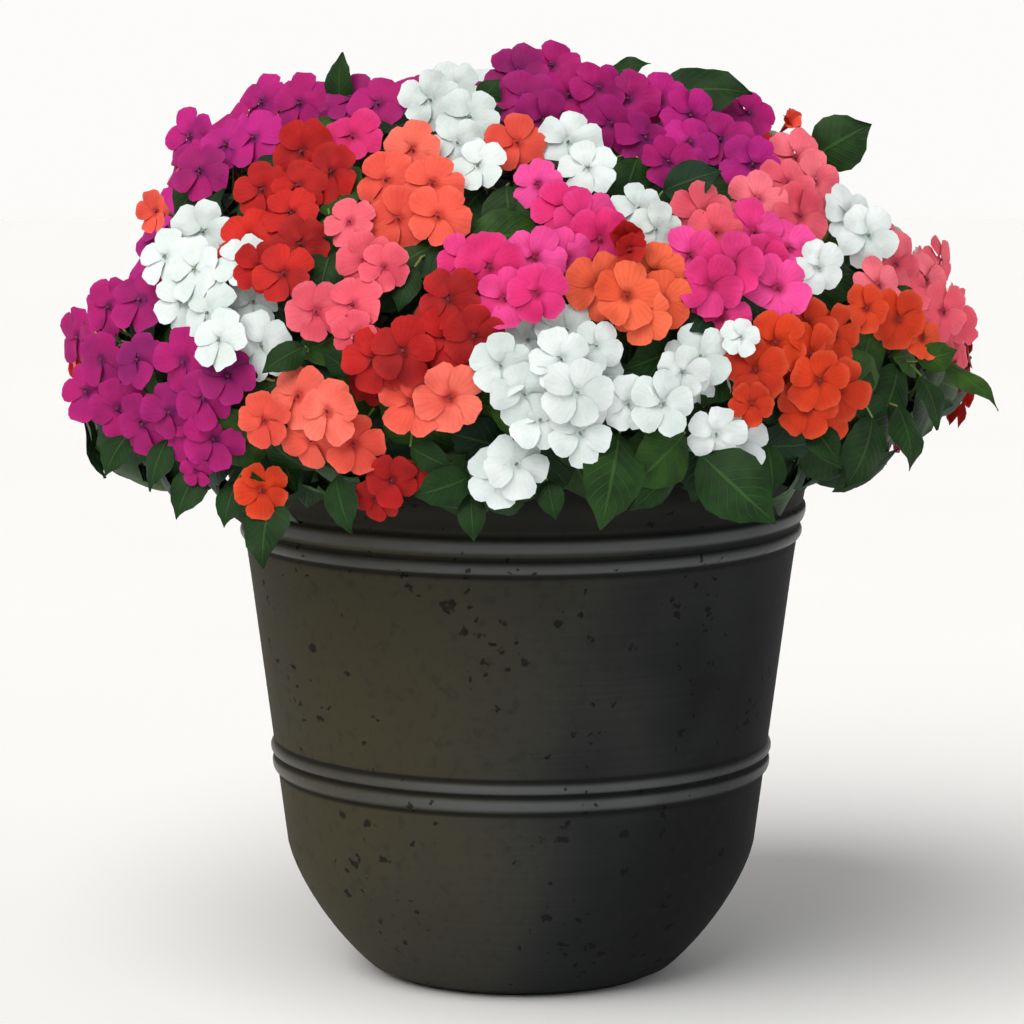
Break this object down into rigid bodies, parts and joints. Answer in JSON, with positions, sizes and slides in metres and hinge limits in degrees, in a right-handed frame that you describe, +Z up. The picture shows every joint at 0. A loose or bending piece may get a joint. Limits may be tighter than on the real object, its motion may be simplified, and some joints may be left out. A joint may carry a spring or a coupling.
{
  "type": "potted impatiens",
  "caption": "Round dark planter with two double bands, filled with soil and a domed bush of impatiens in bloom in mixed colours.",
  "frame": {"origin": "centre of the planter's flat underside, on its axis", "axes": "+Z up along the planter's axis; -Y towards the side that is seen first, +X to that viewer's right"},
  "size_m": [0.6833, 0.6976, 0.693],
  "materials": {
    "planter": "satin",
    "soil": "matte",
    "foliage": "satin",
    "white": "matte",
    "magenta": "matte",
    "hot_pink": "matte",
    "rose": "matte",
    "coral": "matte",
    "orange": "matte",
    "red": "matte"
  },
  "bodies": {
    "root": {"blooms_coral_back_1_6": "coral", "blooms_coral_back_3_2": "coral", "blooms_coral_lower_left": "coral", "blooms_coral_lower_middle": "coral", "blooms_coral_upper_dot": "coral", "blooms_coral_upper_left": "coral", "blooms_hot_pink_back_1_3": "hot_pink", "blooms_hot_pink_back_2_4": "hot_pink", "blooms_hot_pink_middle": "hot_pink", "blooms_hot_pink_right": "hot_pink", "blooms_hot_pink_upper_left_dot": "hot_pink", "blooms_magenta_back_1_2": "magenta", "blooms_magenta_back_2_3": "magenta", "blooms_magenta_crown_left": "magenta", "blooms_magenta_crown_left_shoulder": "magenta", "blooms_magenta_crown_middle": "magenta", "blooms_magenta_crown_right": "magenta", "blooms_magenta_crown_right_shoulder": "magenta", "blooms_magenta_far_left": "magenta", "blooms_magenta_lower_left": "magenta", "blooms_orange_back_1_5": "orange", "blooms_orange_back_3_1": "orange", "blooms_orange_far_right": "orange", "blooms_orange_fringe_left": "orange", "blooms_orange_lower_right": "orange", "blooms_orange_middle_right": "orange", "blooms_red_back_1_1": "red", "blooms_red_back_2_2": "red", "blooms_red_fringe_middle": "red", "blooms_red_middle": "red", "blooms_red_upper_left": "red", "blooms_rose_back_1_4": "rose", "blooms_rose_back_2_5": "rose", "blooms_rose_far_right": "rose", "blooms_rose_middle_left": "rose", "blooms_rose_upper_right": "rose", "blooms_white_back_2_1": "white", "blooms_white_back_3_3": "white", "blooms_white_crown_middle_left": "white", "blooms_white_left": "white", "blooms_white_lower_right": "white", "blooms_white_lowest": "white", "blooms_white_middle": "white", "blooms_white_right": "white", "blooms_white_upper_dot": "white", "blooms_white_upper_middle": "white", "leafy_plant_back_left": "foliage", "leafy_plant_back_right": "foliage", "leafy_plant_front": "foliage", "leafy_plant_front_left": "foliage", "leafy_plant_front_right": "foliage", "leafy_plant_left": "foliage", "leafy_plant_middle": "foliage", "leafy_plant_right": "foliage", "planter": "planter", "potting_soil": "soil"}
  },
  "joints": []
}
